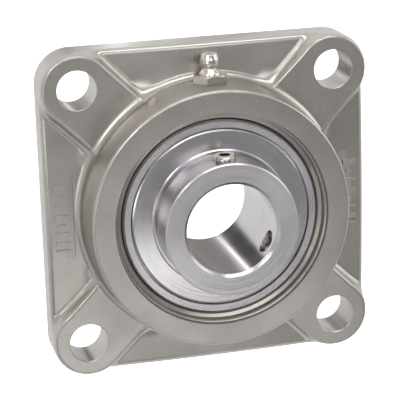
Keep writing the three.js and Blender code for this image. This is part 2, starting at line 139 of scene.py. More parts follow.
world = bpy.data.worlds.new("studio")
world.use_nodes = True
sky_tree = world.node_tree
background = sky_tree.nodes["Background"]
background.inputs["Color"].default_value = (1, 1, 1, 1)
seen_direct = sky_tree.nodes.new("ShaderNodeLightPath").outputs["Is Camera Ray"]
sky_place = sky_tree.nodes.new("ShaderNodeTexCoord").outputs["Generated"]
sky_way = sky_tree.nodes.new("ShaderNodeSeparateXYZ")
sky_tree.links.new(sky_place, sky_way.inputs["Vector"])
sky = sky_tree.nodes.new("ShaderNodeMapRange")
sky.interpolation_type = "SMOOTHSTEP"
sky.inputs["From Min"].default_value = SKY_LOW
sky.inputs["From Max"].default_value = SKY_HIGH
sky.inputs["To Min"].default_value = HORIZON_LIGHT
sky.inputs["To Max"].default_value = OVERHEAD_LIGHT
sky_tree.links.new(sky_way.outputs["Z"], sky.inputs["Value"])
strength = math_node(sky_tree, "MAXIMUM", seen_direct, sky.outputs["Result"])
sky_tree.links.new(strength, background.inputs["Strength"])
bpy.context.scene.world = world

# %% [markdown]
# ## Finishes
# Nearly every piece is bare steel, so the finishes differ more in grain than in colour.
# Three effects are shared as node groups. Fine grain is the tiny bumpiness of a blasted casting
# or of rubber. Turning marks are the rings that a lathe or a grinding wheel leaves about the shaft.
# Handling is the slow change of sheen over a surface that has been wiped and touched.

# %% Node group helpers
def new_group(name, inputs, outputs):
    group = bpy.data.node_groups.new(name, "ShaderNodeTree")
    for label, value in inputs.items():
        socket = group.interface.new_socket(label, in_out="INPUT", socket_type="NodeSocketFloat")
        socket.default_value = value
    for label in outputs:
        group.interface.new_socket(label, in_out="OUTPUT", socket_type="NodeSocketFloat")
    return group, group.nodes.new("NodeGroupInput"), group.nodes.new("NodeGroupOutput")


def object_place(tree):
    return tree.nodes.new("ShaderNodeTexCoord").outputs["Object"]


# %% Fine grain
def fine_grain_group():
    group, given, made = new_group("fine grain", {"Scale": 2000, "Depth": 1}, ["Height", "Patch"])
    noise = group.nodes.new("ShaderNodeTexNoise")
    noise.inputs["Detail"].default_value = 4
    noise.inputs["Roughness"].default_value = 0.65
    group.links.new(object_place(group), noise.inputs["Vector"])
    group.links.new(given.outputs["Scale"], noise.inputs["Scale"])
    height = math_node(group, "MULTIPLY", noise.outputs["Fac"], given.outputs["Depth"])
    group.links.new(height, made.inputs["Height"])
    group.links.new(noise.outputs["Fac"], made.inputs["Patch"])
    return group


FINE_GRAIN = fine_grain_group()


# %% Turning marks
def turning_group():
    group, given, made = new_group("turning marks", {"Lines": 4000, "Depth": 1}, ["Height", "Streak"])
    place = group.nodes.new("ShaderNodeSeparateXYZ")
    group.links.new(object_place(group), place.inputs[0])
    across = math_node(group, "POWER", place.outputs["X"], 2)
    along = math_node(group, "POWER", place.outputs["Y"], 2)
    radius = math_node(group, "SQRT", math_node(group, "ADD", across, along))
    spread = group.nodes.new("ShaderNodeCombineXYZ")
    group.links.new(radius, spread.inputs["X"])
    group.links.new(place.outputs["Z"], spread.inputs["Y"])
    noise = group.nodes.new("ShaderNodeTexNoise")
    noise.noise_dimensions = "2D"
    noise.inputs["Detail"].default_value = 3
    noise.inputs["Roughness"].default_value = 0.7
    group.links.new(spread.outputs[0], noise.inputs["Vector"])
    group.links.new(given.outputs["Lines"], noise.inputs["Scale"])
    height = math_node(group, "MULTIPLY", noise.outputs["Fac"], given.outputs["Depth"])
    group.links.new(height, made.inputs["Height"])
    group.links.new(noise.outputs["Fac"], made.inputs["Streak"])
    return group


TURNING = turning_group()


# %% Handling
def handling_group():
    group, given, made = new_group("handling", {"Scale": 40, "Low": 0.2, "High": 0.3}, ["Sheen"])
    noise = group.nodes.new("ShaderNodeTexNoise")
    noise.inputs["Detail"].default_value = 5
    group.links.new(object_place(group), noise.inputs["Vector"])
    group.links.new(given.outputs["Scale"], noise.inputs["Scale"])
    spread = group.nodes.new("ShaderNodeMapRange")
    spread.inputs["From Min"].default_value = 0.3
    spread.inputs["From Max"].default_value = 0.7
    group.links.new(noise.outputs["Fac"], spread.inputs["Value"])
    group.links.new(given.outputs["Low"], spread.inputs["To Min"])
    group.links.new(given.outputs["High"], spread.inputs["To Max"])
    group.links.new(spread.outputs["Result"], made.inputs["Sheen"])
    return group


HANDLING = handling_group()
print("node groups:", [g.name for g in (FINE_GRAIN, TURNING, HANDLING)])

# %% [markdown]
# One function builds every steel. It mixes two close colours with the grain, takes its roughness
# from the handling group, and its bump from grain or turning marks. Keeping one recipe makes the
# pieces look like one product, and each finish is then only a short list of numbers. The ring's
# bore is ground finer than its outside, so inside that radius the marks and the sheen are smoother.

# %% Metal recipe
def placed_group(tree, group, **values):
    step = tree.nodes.new("ShaderNodeGroup")
    step.node_tree = group
    for label, value in values.items():
        step.inputs[label].default_value = value
    return step


SHEEN_SCALE = 45
CLOUD_SCALE = 60
RELIEF_DEPTH = 0.0001
BORE_SHEEN, BORE_RELIEF = 0.88, 0.08


def inside_bore(tree, radius):
    """One inside the given radius about the shaft, and nought outside it."""
    place = tree.nodes.new("ShaderNodeSeparateXYZ")
    tree.links.new(object_place(tree), place.inputs["Vector"])
    across = math_node(tree, "POWER", place.outputs["X"], 2)
    along = math_node(tree, "POWER", place.outputs["Y"], 2)
    out = math_node(tree, "POWER", math_node(tree, "ADD", across, along), 0.5)
    return math_node(tree, "LESS_THAN", out, radius)


def lowered(tree, value, where, share):
    """The value, brought down to a share of itself where the mask is one."""
    factor = math_node(tree, "MULTIPLY_ADD", where, share - 1, 1)
    return math_node(tree, "MULTIPLY", value, factor)


def finish(name, dark, light, sheen, grain=None, turning=None, bump=0.1, metal=1.0,
           polished_inside=None):
    material = bpy.data.materials.new(name)
    material.use_nodes = True
    tree = material.node_tree
    shader = tree.nodes["Principled BSDF"]
    shader.inputs["Metallic"].default_value = metal
    if turning:
        texture = placed_group(tree, TURNING, Lines=turning)
    else:
        texture = placed_group(tree, FINE_GRAIN, Scale=grain)
    cloud = tree.nodes.new("ShaderNodeTexNoise")
    cloud.inputs["Scale"].default_value = CLOUD_SCALE
    cloud.inputs["Detail"].default_value = 6
    tree.links.new(object_place(tree), cloud.inputs["Vector"])
    mixed = math_node(tree, "ADD", math_node(tree, "MULTIPLY", texture.outputs[1], 0.5),
                      math_node(tree, "MULTIPLY", cloud.outputs["Fac"], 0.5))
    ramp = tree.nodes.new("ShaderNodeValToRGB")
    ramp.color_ramp.elements[0].position = 0.35
    ramp.color_ramp.elements[0].color = (*dark, 1)
    ramp.color_ramp.elements[1].position = 0.65
    ramp.color_ramp.elements[1].color = (*light, 1)
    tree.links.new(mixed, ramp.inputs["Fac"])
    tree.links.new(ramp.outputs["Color"], shader.inputs["Base Color"])
    wear = placed_group(tree, HANDLING, Scale=SHEEN_SCALE, Low=sheen[0], High=sheen[1])
    roughness = wear.outputs["Sheen"]
    height = texture.outputs["Height"]
    if polished_inside:
        bore = inside_bore(tree, polished_inside)
        roughness = lowered(tree, roughness, bore, BORE_SHEEN)
        height = lowered(tree, height, bore, BORE_RELIEF)
    tree.links.new(roughness, shader.inputs["Roughness"])
    bumped = tree.nodes.new("ShaderNodeBump")
    bumped.inputs["Strength"].default_value = bump
    bumped.inputs["Distance"].default_value = RELIEF_DEPTH
    tree.links.new(height, bumped.inputs["Height"])
    tree.links.new(bumped.outputs["Normal"], shader.inputs["Normal"])
    return material


# %% The finishes of this unit
BORE = 15.875
CAST = finish("cast_steel", (0.42, 0.40, 0.372), (0.52, 0.495, 0.462), (0.27, 0.36),
              grain=1300, bump=0.22)
GROUND = finish("ring_steel", (0.51, 0.49, 0.505), (0.60, 0.58, 0.595), (0.18, 0.26),
                turning=5000, bump=0.38, polished_inside=(BORE + 0.045) * MM)
BALL = finish("ball_steel", (0.70, 0.70, 0.71), (0.76, 0.76, 0.77), (0.04, 0.07),
              grain=900, bump=0.01)
CAGE = finish("cage_steel", (0.42, 0.41, 0.40), (0.52, 0.51, 0.50), (0.28, 0.36),
              grain=1500, bump=0.12)
PRESSED = finish("pressed_steel", (0.53, 0.51, 0.53), (0.61, 0.59, 0.61), (0.16, 0.22),
                 turning=3500, bump=0.25)
RUBBER = finish("seal_rubber", (0.012, 0.012, 0.013), (0.03, 0.03, 0.032), (0.55, 0.7),
                grain=3000, bump=0.3, metal=0.0)
SCREW = finish("screw_steel", (0.50, 0.46, 0.40), (0.62, 0.58, 0.51), (0.16, 0.26),
               grain=1800, bump=0.12)
FITTING = finish("fitting_steel", (0.52, 0.49, 0.46), (0.64, 0.60, 0.56), (0.20, 0.28),
                 grain=1500, bump=0.08)
SPRING = finish("spring_steel", (0.5, 0.5, 0.5), (0.6, 0.6, 0.6), (0.2, 0.3),
                grain=2500, bump=0.1)
print("materials:", len(bpy.data.materials))

# %% [markdown]
# The pale floor lies well below the part, so no hard shadow touches it, and it is clear from below
# so that the back can be looked at. Bare steel shows mostly what stands round it. Four small cards
# near the floor are seen only in reflections, as dark and bright cards are used in a product studio.
# They give the ground bore its dark band and bright streak, and aren't part of the object.

# %% Floor
FLOOR_DEPTH = 0.16
FLOOR_GLOW = 0.15
FLOOR_GLOW_SEEN = 0.6


def floor_material():
    material = bpy.data.materials.new("pale floor")
    material.use_nodes = True
    tree = material.node_tree
    shader = tree.nodes["Principled BSDF"]
    noise = tree.nodes.new("ShaderNodeTexNoise")
    noise.inputs["Scale"].default_value = 30
    tree.links.new(object_place(tree), noise.inputs["Vector"])
    ramp = tree.nodes.new("ShaderNodeValToRGB")
    ramp.color_ramp.elements[0].color = (0.90, 0.90, 0.90, 1)
    ramp.color_ramp.elements[1].color = (0.92, 0.92, 0.92, 1)
    tree.links.new(noise.outputs["Fac"], ramp.inputs["Fac"])
    tree.links.new(ramp.outputs["Color"], shader.inputs["Base Color"])
    shader.inputs["Roughness"].default_value = 0.9
    shader.inputs["Emission Color"].default_value = (1, 1, 1, 1)
    seen = tree.nodes.new("ShaderNodeLightPath").outputs["Is Camera Ray"]
    glow = math_node(tree, "MULTIPLY_ADD", seen, FLOOR_GLOW_SEEN, FLOOR_GLOW)
    tree.links.new(glow, shader.inputs["Emission Strength"])
    clear = tree.nodes.new("ShaderNodeBsdfTransparent")
    under = tree.nodes.new("ShaderNodeNewGeometry").outputs["Backfacing"]
    mix = tree.nodes.new("ShaderNodeMixShader")
    tree.links.new(under, mix.inputs["Fac"])
    tree.links.new(shader.outputs["BSDF"], mix.inputs[1])
    tree.links.new(clear.outputs["BSDF"], mix.inputs[2])
    tree.links.new(mix.outputs["Shader"], tree.nodes["Material Output"].inputs["Surface"])
    return material


floor_mesh = bmesh.new()
bmesh.ops.create_grid(floor_mesh, x_segments=4, y_segments=4, size=3)
bmesh.ops.translate(floor_mesh, vec=(0, 0, -FLOOR_DEPTH), verts=floor_mesh.verts[:])
floor_data = bpy.data.meshes.new("floor")
floor_mesh.to_mesh(floor_data)
floor = bpy.data.objects.new("floor", floor_data)
floor_data.materials.append(floor_material())
bpy.context.scene.collection.objects.link(floor)


# %% Reflection cards
CARD_RISE = 0.003
GREY = (0.36, 0.33, 0.32)


def card(name, place, size, degrees, shade, glow=0.0):
    """A small card near the floor that shows only in reflections."""
    material = bpy.data.materials.new(name)
    material.use_nodes = True
    shader = material.node_tree.nodes["Principled BSDF"]
    shader.inputs["Base Color"].default_value = (*shade, 1)
    shader.inputs["Roughness"].default_value = 0.9
    shader.inputs["Emission Color"].default_value = (1, 0.97, 0.97, 1)
    shader.inputs["Emission Strength"].default_value = glow
    shape = bmesh.new()
    bmesh.ops.create_grid(shape, x_segments=1, y_segments=1, size=0.5)
    bmesh.ops.scale(shape, vec=(*size, 1), verts=shape.verts[:])
    lying = Matrix.Rotation(math.radians(degrees), 4, "Z")
    lying = Matrix.Translation((*place, CARD_RISE - FLOOR_DEPTH)) @ lying
    bmesh.ops.transform(shape, matrix=lying, verts=shape.verts[:])
    data = bpy.data.meshes.new(name)
    shape.to_mesh(data)
    data.materials.append(material)
    thing = bpy.data.objects.new(name, data)
    bpy.context.scene.collection.objects.link(thing)
    thing.visible_camera = False
    thing.visible_shadow = False
    thing.visible_diffuse = False


card("dark card", (-0.026, 0.050), (0.060, 0.10), 30, (0.05, 0.045, 0.05))
card("grey card", (0.043, 0.044), (0.066, 0.10), -38, GREY)
card("side card", (0.066, -0.004), (0.05, 0.07), -5, GREY)
card("bright card", (0.003, 0.058), (0.007, 0.09), 0, (0.5, 0.5, 0.5), 3.2)

# %% Piece helper
SAME_SPOT = 1e-5


def as_object(shape, name):
    bmesh.ops.remove_doubles(shape, verts=shape.verts[:], dist=SAME_SPOT)
    bmesh.ops.recalc_face_normals(shape, faces=shape.faces[:])
    bmesh.ops.scale(shape, vec=(MM, MM, MM), verts=shape.verts[:])
    data = bpy.data.meshes.new(name)
    shape.to_mesh(data)
    shape.free()
    thing = bpy.data.objects.new(name, data)
    bpy.context.scene.collection.objects.link(thing)
    return thing


def cut(body, tools, operation="DIFFERENCE"):
    for tool in tools:
        step = body.modifiers.new("cut", "BOOLEAN")
        step.operation = operation
        step.solver = "MANIFOLD"
        step.object = tool
    graph = bpy.context.evaluated_depsgraph_get()
    result = bpy.data.meshes.new_from_object(body.evaluated_get(graph))
    body.modifiers.clear()
    body.data = result
    for tool in tools:
        bpy.data.objects.remove(tool)
    return body


def piece(thing, material, body, node, sharp=30):
    thing.data.materials.clear()
    thing.data.materials.append(material)
    thing.data.shade_smooth()
    thing.data.set_sharp_from_angle(angle=math.radians(sharp))
    even = thing.modifiers.new("even shading", "WEIGHTED_NORMAL")
    even.keep_sharp = True
    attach(thing, body)
    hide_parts(node)
    print(f"{thing.name}: {len(thing.data.polygons)} faces on {body}")


# %% [markdown]
# ## Lathe work
# Rings, washers, rivets and the fitting are round, so each is half a section spun about an axis.
# The section is drawn with sharp corners, and each corner that is rounded on the real piece gets
# a small arc before the spin. That costs less than a bevel afterwards and never pinches.

# %% Section and spin helpers
def eased(corners, closed=True, steps=4):
    """Corners are (r, z) or (r, z, radius). A radius replaces the corner by an arc."""
    points = []
    count = len(corners)
    for i, corner in enumerate(corners):
        here = Vector(corner[:2])
        radius = corner[2] if len(corner) > 2 else 0
        if not radius or (not closed and i in (0, count - 1)):
            points.append(here)
            continue
        back_to = (Vector(corners[i - 1][:2]) - here).normalized()
        on_to = (Vector(corners[(i + 1) % count][:2]) - here).normalized()
        half = back_to.angle(on_to) / 2
        run = radius / math.tan(half)
        centre = here + (back_to + on_to).normalized() * radius / math.sin(half)
        start = here + back_to * run - centre
        sweep = (here + on_to * run - centre).angle_signed(start)
        for k in range(steps + 1):
            angle = sweep * k / steps
            points.append(centre + Matrix.Rotation(angle, 2) @ start)
    return points


def arc(centre, radius, start, end, steps, side=1):
    """Points at heights start to end on an arc about (centre, 0), bulging out (1) or in (-1)."""
    a, b = math.asin(start / radius), math.asin(end / radius)
    heights = [radius * math.sin(a + (b - a) * k / steps) for k in range(steps + 1)]
    return [(centre + side * math.sqrt(radius ** 2 - h ** 2), h) for h in heights]


def flipped(section):
    return [(p[0], -p[1], *p[2:]) for p in section]


def spun(section, steps=180, closed=True, lift=0.0):
    shape = bmesh.new()
    verts = [shape.verts.new((p[0], 0, p[1] + lift)) for p in section]
    ends = verts[1:] + verts[:1] if closed else verts[1:]
    edges = [shape.edges.new(pair) for pair in zip(verts, ends)]
    bmesh.ops.spin(shape, geom=verts + edges, cent=(0, 0, 0), axis=(0, 0, 1), dvec=(0, 0, 0),
                   angle=TURN, steps=steps, use_merge=True, use_duplicate=False)
    bmesh.ops.remove_doubles(shape, verts=shape.verts[:], dist=SAME_SPOT)
    return shape


def drum(radius, low, high, steps=64, place=Matrix.Identity(4)):
    shape = bmesh.new()
    bmesh.ops.create_cone(shape, cap_ends=True, segments=steps, radius1=radius, radius2=radius,
                          depth=high - low, matrix=Matrix.Translation((0, 0, (low + high) / 2)))
    bmesh.ops.transform(shape, matrix=place, verts=shape.verts[:])
    return shape


def block(low, high):
    shape = bmesh.new()
    low, high = Vector(low), Vector(high)
    bmesh.ops.create_cube(shape, size=1)
    bmesh.ops.scale(shape, vec=high - low, verts=shape.verts[:])
    bmesh.ops.translate(shape, vec=(low + high) / 2, verts=shape.verts[:])
    return shape


ALONG_Y = Matrix.Rotation(-TURN / 4, 4, "X")
LIFT = Matrix.Translation((0, 0, MIDDLE))

# %% [markdown]
# ## The housing
# The casting is a square plate with arms that run from the boss to the four bolt pads. What makes
# it look cast is the flow of its fillets: along each arm, round the foot of the boss, and a wider
# one in plan where an arm meets the boss. One wedge, an eighth of the plate, is laid as a grid whose
# columns run beside the arm and then fan out. Each point's height comes from a few smooth rules.
# The wedge is repeated round the shaft, so every fillet follows its edge, and the columns also
# carry the section of the boss, the nose and the seat inside, whose mouth opens in small steps.

# %% Heights over the plate
FLOOR_TOP = 11.8
PAD_TOP = 15.0
STEP = PAD_TOP - FLOOR_TOP
HALF_ARM = 12.4
BOSS_FOOT = 46.4
BOSS_TOP = 45.9
CORNER = 12.5
BOLT = PLATE - CORNER
ROUND_TOP = 1.0
ROUND_PLATE = 1.8
WALL_RUN = 0.12
FILLET = 2.6
FILLET_SWEEP = math.radians(80)
WALL_FOOT = WALL_RUN + FILLET * math.sin(FILLET_SWEEP)
BOSS_FILLET = 2.8
PAD_BLEND = 0.6
CORNER_BLEND = 7.0
CROWN = math.tan(math.radians(4.5))


def hollow(distance, radius):
    """Rise of a fillet's arc at a distance from the wall that it meets."""
    return radius - math.sqrt(max(0.0, radius ** 2 - (radius - min(distance, radius)) ** 2))


def platform(outside):
    """Height of an arm's section at a distance outside its upper edge."""
    if outside <= -ROUND_TOP:
        return PAD_TOP
    if outside <= 0:
        return PAD_TOP - ROUND_TOP + math.sqrt(ROUND_TOP ** 2 - (outside + ROUND_TOP) ** 2)
    if outside <= WALL_RUN:
        foot = FLOOR_TOP + FILLET * (1 - math.cos(FILLET_SWEEP))
        return PAD_TOP - ROUND_TOP + (foot - PAD_TOP + ROUND_TOP) * outside / WALL_RUN
    return FLOOR_TOP + FILLET - math.sqrt(FILLET ** 2 - max(0.0, WALL_FOOT - outside) ** 2)


def soft_min(first, second, blend):
    """The smaller value, rounded over where the two are close."""
    share = min(1.0, max(0.0, 0.5 + 0.5 * (second - first) / blend))
    return second + (first - second) * share - blend * share * (1 - share)


def beside_arm(x, y):
    """Distance outside an arm and its round pad, seen in plan."""
    along, beside = (x + y) / math.sqrt(2), (x - y) / math.sqrt(2)
    bar = max(beside - HALF_ARM, along - BOLT * math.sqrt(2))
    return soft_min(bar, math.hypot(x - BOLT, y - BOLT) - CORNER, PAD_BLEND)


def plate_height(x, y):
    from_boss = math.hypot(x, y) - BOSS_FOOT
    from_arm = beside_arm(x, y)
    section = (platform(from_arm) - FLOOR_TOP) / STEP
    near_arm = max(0.0, 1 - max(0.0, from_arm) / CORNER_BLEND)
    near_boss = max(0.0, 1 - from_boss / CORNER_BLEND)
    corner_fill = (near_arm * near_boss) ** 1.5
    raised = STEP * (1 - (1 - section) * (1 - corner_fill))
    crown = CROWN * max(0.0, from_boss - BOSS_FILLET) * (1 - min(1.0, raised / STEP))
    return FLOOR_TOP + raised - crown + hollow(from_boss, BOSS_FILLET)


# %% Columns and rows of the wedge
# Distances from the arm's middle line, and outwards from the boss. They crowd where it rounds over.
ARM_COLUMNS = [0, 1.5, 3, 4.5, 6, 7.2, 7.8, 8.2, 8.6, 9, 9.4, 9.8, 10.2, 10.6, 11, 11.4, 11.7,
               11.85, 11.95, 12.05, 12.15, 12.24, 12.31, 12.36, 12.39, 12.4, 12.46, 12.52, 12.65,
               12.85, 13.1, 13.35, 13.65, 13.95, 14.25, 14.6, 14.85, 15.08, 15.4, 15.7, 16, 16.4,
               16.8, 17.3, 17.9, 18.5, 19]
BOSS_ROWS = [0, 0.04, 0.15, 0.32, 0.54, 0.8, 1.08, 1.36, 1.64, 1.92, 2.2, 2.5, 2.8, 3.1, 3.45, 3.8,
             4.2, 4.6, 5, 5.5, 6.1, 6.8, 7.6]
FAN = 16
ACROSS = 22
EDGE_ARC = [math.radians(a) for a in (0, 12, 25, 38, 51, 64, 77, 90)]
LAST_ARM = ARM_COLUMNS[-1]


def column_line(index):
    """Start on the boss and direction towards the plate's outline."""
    if index < len(ARM_COLUMNS):
        beside = ARM_COLUMNS[index]
        along = math.sqrt(BOSS_FOOT ** 2 - beside ** 2)
        start = Vector((along + beside, along - beside)) / math.sqrt(2)
        return start, Vector((1, 1)).normalized()
    share = 1 - (index - len(ARM_COLUMNS) + 1) / FAN
    angle = share * (TURN / 8 - math.asin(LAST_ARM / BOSS_FOOT))
    start = Vector((math.cos(angle), math.sin(angle))) * BOSS_FOOT
    end = Vector((PLATE, share * (PLATE - LAST_ARM * math.sqrt(2))))
    return start, (end - start).normalized()


def to_circle(start, way, centre, radius):
    """Distance along a line to the far side of a circle."""
    offset = start - centre
    middle = offset.dot(way)
    return -middle + math.sqrt(middle ** 2 - offset.dot(offset) + radius ** 2)


def to_outline(start, way, inset):
    side = (PLATE - inset - start.x) / way.x
    if (start + way * side).y <= BOLT:
        return side
    return to_circle(start, way, Vector((BOLT, BOLT)), CORNER - inset)


# %% The section that every column carries
NOSE_EDGE = 1.0
SEAT_R = SPHERE + 0.15
SEAT_HALF = 8.6
GREASE_GROOVE = (-7.3, -4.3)
GROOVE_R = 37.2
RECESS_R = 41.0
RECESS_EDGE = 0.3


def seat(low, high, steps):
    """Points on the spherical seat between two heights about its middle."""
    heights = [low + (high - low) * k / steps for k in range(steps + 1)]
    return [(math.sqrt(SEAT_R ** 2 - u ** 2), MIDDLE + u) for u in heights]


def seat_section():
    low, high = GREASE_GROOVE
    recess = [(RECESS_R, RECESS_EDGE), (RECESS_R, 5, 0.8), (38.2, 7, 0.5)]
    groove = [(GROOVE_R, MIDDLE + low), (GROOVE_R, MIDDLE + high)]
    mouth = [(35.5, 28.3, 0.2), (36.8, 28.8, 0.35), (36.95, 30.6, 0.15), (37.35, 31, 0.15),
             (37.75, 31.15, 0.1), (37.9, 32.1, 0.15), (38.15, NOSE)]
    corners = [*recess, *seat(-SEAT_HALF, low, 2), *groove, *seat(high, SEAT_HALF, 12), *mouth,
               (BOSS_TOP - NOSE_EDGE, NOSE)]
    section = eased(corners, closed=False, steps=3)
    for k in (1, 2, 3, 4):
        turned = TURN / 4 * k / 4
        radius = BOSS_TOP - NOSE_EDGE * (1 - math.sin(turned))
        section.append(Vector((radius, NOSE - NOSE_EDGE * (1 - math.cos(turned)))))
    return section


SECTION = seat_section()
BOSS_WALL = [0.12, 0.3, 0.5, 0.7, 0.88]
print("section points:", len(SECTION))


# %% Build the wedge
BACK_EDGE = 0.35


def column_points(index):
    start, way = column_line(index)
    spoke = start.normalized()
    rim = start + way * to_outline(start, way, 0)
    points = [Vector((*(start + way * to_outline(start, way, BACK_EDGE)), 0)),
              Vector((*rim, BACK_EDGE))]
    near = [to_circle(start, way, Vector((0, 0)), BOSS_FOOT + d) for d in BOSS_ROWS]
    rise = (plate_height(*rim) - FLOOR_TOP) / STEP
    rounding = ROUND_PLATE + (ROUND_TOP - ROUND_PLATE) * min(1.0, max(0.0, rise))
    rows = []
    for angle in reversed(EDGE_ARC):
        rows.append(to_outline(start, way, rounding * (1 - math.sin(angle))))
    far, close = rows[-1], near[-1]
    rows += [far + (close - far) * k / ACROSS for k in range(1, ACROSS)]
    rows += reversed(near)
    for k, distance in enumerate(rows):
        spot = start + way * distance
        height = plate_height(*spot)
        if k < len(EDGE_ARC):
            height -= rounding * (1 - math.cos(EDGE_ARC[-1 - k]))
        points.append(Vector((*spot, height)))
    foot = points[-1].z
    for share in BOSS_WALL:
        height = foot + (NOSE - NOSE_EDGE - foot) * share
        radius = BOSS_FOOT + (BOSS_TOP - BOSS_FOOT) * share
        points.append(Vector((*(spoke * radius), height)))
    for radius, height in reversed(SECTION):
        points.append(Vector((*(spoke * radius), height)))
    points.append(Vector((*(spoke * (RECESS_R + RECESS_EDGE)), 0)))
    return points


def wedge():
    columns = [column_points(i) for i in range(len(ARM_COLUMNS) + FAN)]
    rows = len(columns[0])
    shape = bmesh.new()
    bmesh.ops.create_grid(shape, x_segments=len(columns) - 1, y_segments=rows, size=1)
    for vert in shape.verts:
        i = round((vert.co.x + 1) / 2 * (len(columns) - 1))
        j = round((vert.co.y + 1) / 2 * rows)
        vert.co = columns[i][j % rows]
    return shape


def around(shape):
    """Mirror the wedge over its diagonal, then turn copies about the shaft."""
    swap = Matrix(((0, 1, 0, 0), (1, 0, 0, 0), (0, 0, 1, 0), (0, 0, 0, 1)))
    first = shape.verts[:] + shape.edges[:] + shape.faces[:]
    twin = bmesh.ops.duplicate(shape, geom=first)["geom"]
    twin_verts = [v for v in twin if isinstance(v, bmesh.types.BMVert)]
    bmesh.ops.transform(shape, matrix=swap, verts=twin_verts)
    bmesh.ops.reverse_faces(shape, faces=[f for f in twin if isinstance(f, bmesh.types.BMFace)])
    quarter = shape.verts[:] + shape.edges[:] + shape.faces[:]
    for turns in (1, 2, 3):
        copy = bmesh.ops.duplicate(shape, geom=quarter)["geom"]
        copied = [v for v in copy if isinstance(v, bmesh.types.BMVert)]
        quarter_turns = Matrix.Rotation(turns * TURN / 4, 3, "Z")
        bmesh.ops.rotate(shape, verts=copied, cent=(0, 0, 0), matrix=quarter_turns)
    return shape


casting = as_object(around(wedge()), "housing_casting")
print("casting faces:", len(casting.data.polygons))

# %% [markdown]
# The holes come last, as they do in the machine shop: four bolt holes with a broken edge, the
# tapped hole and spot face for the fitting, the slanted grease drilling, the notch for the pin,
# and the two slots through which the insert is loaded from behind. Two shallow panels lie beside
# the boss, with plain raised bars where a maker would cast a name.

# %% Cutting tools
BOLT_R = 7.0
PANEL_X = 52.9
PANEL_HALF = (4.1, 15)
PANEL_DEPTH = 0.35
PANEL_SLOPE = 1.8
SLOT_HALF = 10.4


def bolt_cutter(x, y):
    section = [(0, -1), (BOLT_R + 0.8, -1), (BOLT_R + 0.3, 0), (BOLT_R, 0.3), (BOLT_R, PAD_TOP - 0.2),
               (BOLT_R + 0.2, PAD_TOP), (BOLT_R + 1.2, PAD_TOP + 1), (0, PAD_TOP + 1)]
    shape = spun(section, steps=96, closed=False)
    bmesh.ops.translate(shape, vec=(x, y, 0), verts=shape.verts[:])
    return as_object(shape, "bolt cutter")


def upright_edges(shape):
    return [e for e in shape.edges if abs(e.verts[0].co.z - e.verts[1].co.z) > 0.5]


def rounded(shape, edges, offset, segments):
    bmesh.ops.bevel(shape, geom=edges, offset=offset, offset_type="OFFSET", segments=segments,
                    profile=0.5, affect="EDGES", material=-1)


def panel_cutter(side):
    wide, tall = PANEL_HALF
    shape = block((PANEL_X - wide, -tall, FLOOR_TOP - PANEL_DEPTH),
                  (PANEL_X + wide, tall, FLOOR_TOP + 3))
    rounded(shape, upright_edges(shape), 0.8, 4)
    for vert in shape.verts:
        if vert.co.z > FLOOR_TOP:
            vert.co.x += math.copysign(PANEL_SLOPE, vert.co.x - PANEL_X)
            vert.co.y += math.copysign(PANEL_SLOPE, vert.co.y)
    bmesh.ops.scale(shape, vec=(side, 1, 1), verts=shape.verts[:])
    return as_object(shape, "panel cutter")


def loading_cutter():
    shape = drum(SPHERE + 0.35, 1, MIDDLE, steps=192)
    for side in (1, -1):
        whole = shape.verts[:] + shape.edges[:] + shape.faces[:]
        bmesh.ops.bisect_plane(shape, geom=whole, plane_co=(0, side * SLOT_HALF, 0),
                               plane_no=(0, side, 0), clear_outer=True)
        bmesh.ops.holes_fill(shape, edges=shape.edges[:], sides=0)
    return as_object(shape, "loading cutter")


up_to_middle = LIFT @ ALONG_Y
drilling_slant = Matrix.Rotation(math.radians(-60), 4, "X")
drilling_place = Matrix.Translation((0, 34.5, 11.6)) @ drilling_slant
tools = [bolt_cutter(x * BOLT, y * BOLT) for x in (1, -1) for y in (1, -1)]
tools += [panel_cutter(1), panel_cutter(-1), loading_cutter(),
          as_object(drum(5, 39.5, 47, place=up_to_middle), "tapped hole"),
          as_object(drum(6.8, 45.9, 50, place=up_to_middle), "spot face"),
          as_object(drum(1.4, 0, 9, 32, drilling_place), "grease drilling"),
          as_object(block((-1.7, -37.8, 8), (1.7, -34, 23.2)), "pin notch")]
cut(casting, tools)
print("after cutting:", len(casting.data.polygons))


# %% Raised bars in the panels
# Each mark is its place along the panel, its width and its height, in millimetres.
MARKS = [(-12, 1.1, 5), (-9.6, 2.2, 5), (-5.6, 1.1, 5), (-2.6, 1.1, 2.4), (0.2, 2.2, 5),
         (4.2, 1.1, 5), (7.2, 1.1, 2.4), (10.6, 2.2, 5)]
BAR_DEPTH = 0.9
BAR_SINK = 0.2


def bars(side):
    shape = bmesh.new()
    for along, wide, tall in MARKS:
        bar = bmesh.ops.create_cube(shape, size=1)["verts"]
        bmesh.ops.scale(shape, vec=(tall, wide, BAR_DEPTH), verts=bar)
        bmesh.ops.translate(shape, vec=(PANEL_X, along, FLOOR_TOP - BAR_SINK), verts=bar)
    rounded(shape, upright_edges(shape), 0.4, 3)
    rim = [e for e in shape.edges if min(v.co.z for v in e.verts) > FLOOR_TOP]
    rounded(shape, rim, 0.15, 2)
    bmesh.ops.scale(shape, vec=(side, 1, 1), verts=shape.verts[:])
    return as_object(shape, "bars")


cut(casting, [bars(1), bars(-1)], "UNION")
piece(casting, CAST, "housing", "housing", sharp=35)

# %% [markdown]
# ## The outer ring and its pin
# The outer ring's outside is part of a sphere, so the whole insert can tilt in the housing.
# Its inside has the ball track, a shoulder on each side and a groove that holds the seal.
# A short pin in the ring travels along a notch in the seat, so the ring can tilt but not creep.

